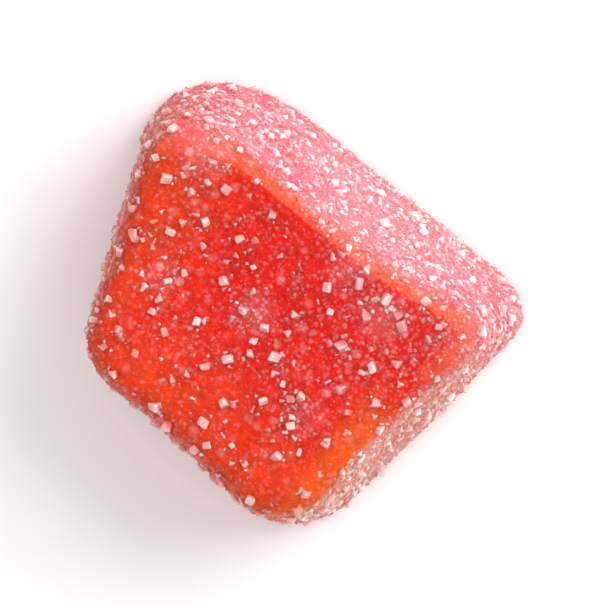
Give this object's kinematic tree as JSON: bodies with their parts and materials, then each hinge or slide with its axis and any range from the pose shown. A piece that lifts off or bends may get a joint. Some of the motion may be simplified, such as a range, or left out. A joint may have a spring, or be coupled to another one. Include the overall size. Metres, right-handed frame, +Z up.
{
  "type": "sugared mango gummy",
  "caption": "Sugar-coated jelly sweet: a tapered, soft-cornered block with a sunken small face, lying on its larger flat face, with coarse sugar grains.",
  "frame": {"origin": "middle of the large flat face that the gummy lies on", "axes": "+Z up from the large flat face to the small face; -Y out of the widest wall; X along that wall, the longest side"},
  "size_m": [0.0253, 0.0211, 0.0114],
  "materials": {
    "sugared_jelly": "translucent red-orange jelly under a rough coat of sugar crystals"
  },
  "bodies": {
    "root": {"gummy": "sugared_jelly"}
  },
  "joints": []
}
